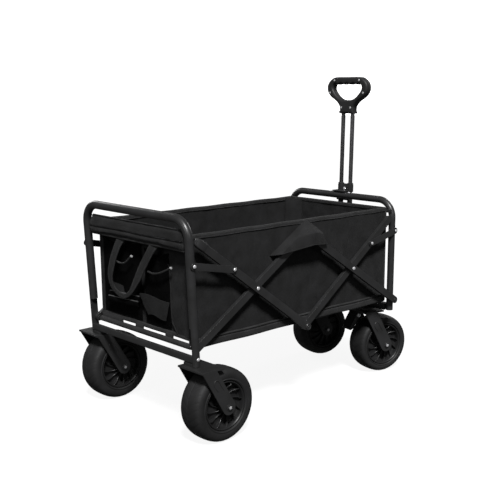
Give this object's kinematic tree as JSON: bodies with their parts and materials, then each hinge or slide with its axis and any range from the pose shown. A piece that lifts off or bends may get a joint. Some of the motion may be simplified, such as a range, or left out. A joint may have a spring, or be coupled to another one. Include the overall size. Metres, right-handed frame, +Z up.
{
  "type": "folding camp wagon",
  "caption": "Folding camp wagon with an open fabric basket, scissor side bars, swivelling front wheels with brakes and a telescoping pull handle.",
  "frame": {"origin": "on the ground, under the centre of the wagon's box", "axes": "+X towards the pull handle, +Y to the wagon's left, +Z up"},
  "size_m": [0.9122, 0.5506, 0.8921],
  "materials": {
    "coat": "satin powder coat",
    "plastic": "moulded, satin",
    "tyre": "matt",
    "rim": "semi-gloss moulded",
    "steel": "zinc plated",
    "rod": "dark satin",
    "canvas": "coarse woven, matt",
    "webbing": "woven strap, matt"
  },
  "bodies": {
    "chassis": {"rear_frame": "coat", "rear_beam": "coat", "rear_floor_tube": "coat", "rear_fork_left": "coat", "rear_fork_right": "coat", "rear_axle_bolt_left": "steel", "rear_axle_bolt_right": "steel", "side_wall_left": "canvas", "side_wall_right": "canvas", "rear_wall": "canvas", "floor": "canvas", "rear_flap": "canvas", "rear_pocket_left": "canvas", "rear_pocket_right": "canvas", "carry_loop": "webbing"},
    "front_end": {"front_frame": "coat", "front_beam": "coat", "front_floor_tube": "coat", "front_wall": "canvas", "handle_hinge_bracket": "coat", "handle_hinge_pin": "steel", "handle_clip": "plastic"},
    "handle_outer": {"handle_sleeve": "coat"},
    "handle_inner": {"handle_rods": "rod", "handle_grip_front": "plastic", "handle_grip_back": "plastic"},
    "rear_lower_left": {"rear_lower_bar_left": "coat", "rear_crossing_pin_left": "steel", "upper_joint_pin_left": "steel"},
    "rear_upper_left": {"rear_upper_bar_left": "coat"},
    "front_lower_left": {"front_lower_bar_left": "coat", "front_crossing_pin_left": "steel"},
    "front_upper_left": {"front_upper_bar_left": "coat"},
    "rear_strut_left": {"rear_link_left": "coat"},
    "front_strut_left": {"front_link_left": "coat"},
    "rear_wheel_left": {"rear_tyre_left": "tyre", "rear_rim_left": "rim"},
    "caster_left": {"front_fork_left": "coat", "front_axle_bolt_left": "steel"},
    "front_wheel_left": {"front_tyre_left": "tyre", "front_rim_left": "rim"},
    "brake_left": {"brake_pedal_left": "plastic"},
    "rear_lower_right": {"rear_lower_bar_right": "coat", "rear_crossing_pin_right": "steel", "upper_joint_pin_right": "steel"},
    "rear_upper_right": {"rear_upper_bar_right": "coat"},
    "front_lower_right": {"front_lower_bar_right": "coat", "front_crossing_pin_right": "steel"},
    "front_upper_right": {"front_upper_bar_right": "coat"},
    "rear_strut_right": {"rear_link_right": "coat"},
    "front_strut_right": {"front_link_right": "coat"},
    "rear_wheel_right": {"rear_tyre_right": "tyre", "rear_rim_right": "rim"},
    "caster_right": {"front_fork_right": "coat", "front_axle_bolt_right": "steel"},
    "front_wheel_right": {"front_tyre_right": "tyre", "front_rim_right": "rim"},
    "brake_right": {"brake_pedal_right": "plastic"}
  },
  "joints": [
    {"name": "fold", "type": "hinge", "parent": "chassis", "child": "rear_lower_left", "pos_m": [-0.4149, 0.2125, 0.2428], "axis": [0, -1, 0], "range_deg": [0, 40], "deforming": ["side_wall_left", "side_wall_right", "floor"]},
    {"name": "rear_crossing_left", "type": "hinge", "parent": "rear_lower_left", "child": "rear_upper_left", "pos_m": [-0.22421, 0.2125, 0.36489], "axis": [0, -1, 0], "range_deg": [-79, 1]},
    {"name": "upper_joint_left", "type": "hinge", "parent": "rear_lower_left", "child": "front_lower_left", "pos_m": [-0.041, 0.223, 0.4822], "axis": [0, -1, 0], "range_deg": [-81, 1]},
    {"name": "front_crossing_left", "type": "hinge", "parent": "front_lower_left", "child": "front_upper_left", "pos_m": [0.14221, 0.2125, 0.36489], "axis": [0, -1, 0], "range_deg": [-1, 79]},
    {"name": "rear_link_turn_left", "type": "hinge", "parent": "chassis", "child": "rear_strut_left", "pos_m": [-0.43274, 0.23, 0.4502], "axis": [0, -1, 0], "range_deg": [-1, 75]},
    {"name": "front_foot", "type": "hinge", "parent": "front_lower_left", "child": "front_end", "pos_m": [0.3329, 0.2125, 0.2428], "axis": [0, -1, 0], "range_deg": [-1, 41]},
    {"name": "front_link_turn_left", "type": "hinge", "parent": "front_end", "child": "front_strut_left", "pos_m": [0.3329, 0.22, 0.4502], "axis": [0, -1, 0], "range_deg": [-85, 1]},
    {"name": "rear_wheel_spin_left", "type": "hinge", "parent": "chassis", "child": "rear_wheel_left", "pos_m": [-0.36114, 0.223, 0.095], "axis": [0, 1, 0], "continuous": true},
    {"name": "caster_swivel_left", "type": "hinge", "parent": "front_end", "child": "caster_left", "pos_m": [0.3118, 0.123, 0.202], "axis": [0, 0, 1], "continuous": true},
    {"name": "front_wheel_spin_left", "type": "hinge", "parent": "caster_left", "child": "front_wheel_left", "pos_m": [0.36738, 0.11037, 0.088], "axis": [0.2215, 0.9751, 0], "continuous": true},
    {"name": "brake_press_left", "type": "hinge", "parent": "caster_left", "child": "brake_left", "pos_m": [0.27864, 0.13053, 0.189], "axis": [-0.2215, -0.9751, 0], "range_deg": [0, 15]},
    {"name": "fold_right", "type": "hinge", "parent": "chassis", "child": "rear_lower_right", "pos_m": [-0.4149, -0.2125, 0.2428], "axis": [0, -1, 0], "range_deg": [-1, 41]},
    {"name": "rear_crossing_right", "type": "hinge", "parent": "rear_lower_right", "child": "rear_upper_right", "pos_m": [-0.22421, -0.2125, 0.36489], "axis": [0, -1, 0], "range_deg": [-79, 1]},
    {"name": "upper_joint_right", "type": "hinge", "parent": "rear_lower_right", "child": "front_lower_right", "pos_m": [-0.041, -0.223, 0.4822], "axis": [0, -1, 0], "range_deg": [-81, 1]},
    {"name": "front_crossing_right", "type": "hinge", "parent": "front_lower_right", "child": "front_upper_right", "pos_m": [0.14221, -0.2125, 0.36489], "axis": [0, -1, 0], "range_deg": [-1, 79]},
    {"name": "rear_link_turn_right", "type": "hinge", "parent": "chassis", "child": "rear_strut_right", "pos_m": [-0.43274, -0.23, 0.4502], "axis": [0, -1, 0], "range_deg": [-1, 75]},
    {"name": "front_link_turn_right", "type": "hinge", "parent": "front_end", "child": "front_strut_right", "pos_m": [0.3329, -0.22, 0.4502], "axis": [0, -1, 0], "range_deg": [-85, 1]},
    {"name": "rear_wheel_spin_right", "type": "hinge", "parent": "chassis", "child": "rear_wheel_right", "pos_m": [-0.36114, -0.223, 0.095], "axis": [0, 1, 0], "continuous": true},
    {"name": "caster_swivel_right", "type": "hinge", "parent": "front_end", "child": "caster_right", "pos_m": [0.3118, -0.123, 0.202], "axis": [0, 0, 1], "continuous": true},
    {"name": "front_wheel_spin_right", "type": "hinge", "parent": "caster_right", "child": "front_wheel_right", "pos_m": [0.36738, -0.13563, 0.088], "axis": [0.2215, 0.9751, 0], "continuous": true},
    {"name": "brake_press_right", "type": "hinge", "parent": "caster_right", "child": "brake_right", "pos_m": [0.27864, -0.11547, 0.189], "axis": [-0.2215, -0.9751, 0], "range_deg": [0, 15]},
    {"name": "handle_tilt", "type": "hinge", "parent": "front_end", "child": "handle_outer", "pos_m": [0.352, 0, 0.218], "axis": [0, 1, 0], "range_deg": [0, 100]},
    {"name": "handle_slide", "type": "slide", "parent": "handle_outer", "child": "handle_inner", "axis": [0.0227, 0, 0.9997], "range_m": [-0.205, 0]}
  ],
  "couplings": [
    {"joint": "rear_crossing_left", "follows": "fold", "ratio": -1.9302},
    {"joint": "upper_joint_left", "follows": "fold", "ratio": -2},
    {"joint": "front_crossing_left", "follows": "fold", "ratio": 1.9302},
    {"joint": "rear_link_turn_left", "follows": "fold", "ratio": 1.8377},
    {"joint": "front_foot", "follows": "fold", "ratio": 1},
    {"joint": "front_link_turn_left", "follows": "fold", "ratio": -2.0821},
    {"joint": "fold_right", "follows": "fold", "ratio": 1},
    {"joint": "rear_crossing_right", "follows": "fold", "ratio": -1.9302},
    {"joint": "upper_joint_right", "follows": "fold", "ratio": -2},
    {"joint": "front_crossing_right", "follows": "fold", "ratio": 1.9302},
    {"joint": "rear_link_turn_right", "follows": "fold", "ratio": 1.8377},
    {"joint": "front_link_turn_right", "follows": "fold", "ratio": -2.0821}
  ]
}
